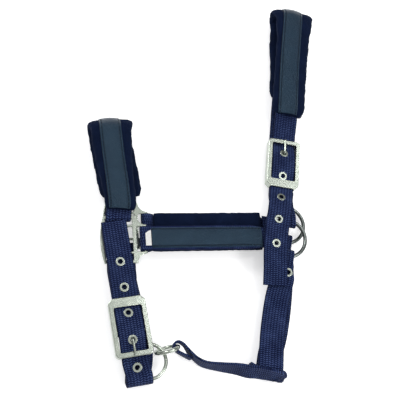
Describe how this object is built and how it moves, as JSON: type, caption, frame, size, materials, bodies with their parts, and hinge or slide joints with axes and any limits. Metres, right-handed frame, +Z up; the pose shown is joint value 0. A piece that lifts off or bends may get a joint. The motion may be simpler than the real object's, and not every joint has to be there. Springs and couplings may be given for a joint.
{
  "type": "headcollar",
  "caption": "Horse headcollar of padded webbing with leather-look strips, lying flat: noseband, cheeks, buckled crown and chin straps, throat strap and rings.",
  "frame": {"origin": "centre of the bounding box at the table", "axes": "+Y from the chin strap to the poll pad, +X from the noseband to the cheek rings, +Z up from the table"},
  "size_m": [0.2688, 0.4226, 0.0379],
  "materials": {
    "webbing": "matte ribbed nylon webbing",
    "plush": "soft plush",
    "leather": "satin, fine grain",
    "nickel": "satin nickel",
    "ring_wire": "polished wire",
    "label": "woven, blank"
  },
  "bodies": {
    "headcollar": {"chin_buckle_frame": "nickel", "chin_chape": "webbing", "chin_eyelets": "nickel", "chin_strap": "webbing", "connector_strap": "webbing", "crown_buckle_frame": "nickel", "crown_chape": "webbing", "crown_eyelets": "nickel", "crown_strap": "webbing", "far_cheek_leather": "leather", "far_cheek_pad": "plush", "far_cheek_webbing": "webbing", "far_halter_square": "nickel", "label_tab": "label", "near_cheek_leather": "leather", "near_cheek_pad": "plush", "near_cheek_webbing": "webbing", "near_halter_square": "nickel", "nose_leather": "leather", "nose_pad": "plush", "nose_strap": "webbing", "poll_leather": "leather", "poll_pad": "plush", "throat_eyelet": "nickel", "throat_strap": "webbing"},
    "crown_tongue": {"crown_buckle_tongue": "nickel"},
    "chin_tongue": {"chin_buckle_tongue": "nickel"},
    "near_ring": {"near_cheek_ring": "ring_wire"},
    "far_ring": {"far_cheek_ring": "ring_wire"},
    "lead_ring": {"lead_ring": "ring_wire"},
    "connector_ring": {"connector_ring": "ring_wire"}
  },
  "joints": [
    {"name": "crown_tongue_lift", "type": "hinge", "parent": "headcollar", "child": "crown_tongue", "pos_m": [0.07614, 0.02037, 0.01094], "axis": [0.9848, -0.1736, 0], "range_deg": [0, 5]},
    {"name": "chin_tongue_lift", "type": "hinge", "parent": "headcollar", "child": "chin_tongue", "pos_m": [-0.09806, -0.15743, 0.01794], "axis": [-0.9936, -0.1132, 0], "range_deg": [0, 5]},
    {"name": "near_ring_turn", "type": "hinge", "parent": "headcollar", "child": "near_ring", "pos_m": [0.06914, -0.06663, 0.01444], "axis": [0, 0, 1], "continuous": true},
    {"name": "far_ring_turn", "type": "hinge", "parent": "headcollar", "child": "far_ring", "pos_m": [0.07314, -0.04863, 0.00454], "axis": [0, 0, 1], "continuous": true},
    {"name": "lead_ring_turn", "type": "hinge", "parent": "headcollar", "child": "lead_ring", "pos_m": [-0.08086, -0.18463, 0.00834], "axis": [0, 0, 1], "continuous": true},
    {"name": "connector_ring_turn", "type": "hinge", "parent": "headcollar", "child": "connector_ring", "pos_m": [-0.06356, -0.17513, 0.01254], "axis": [-0.2339, 0.9255, 0.2978], "continuous": true}
  ]
}
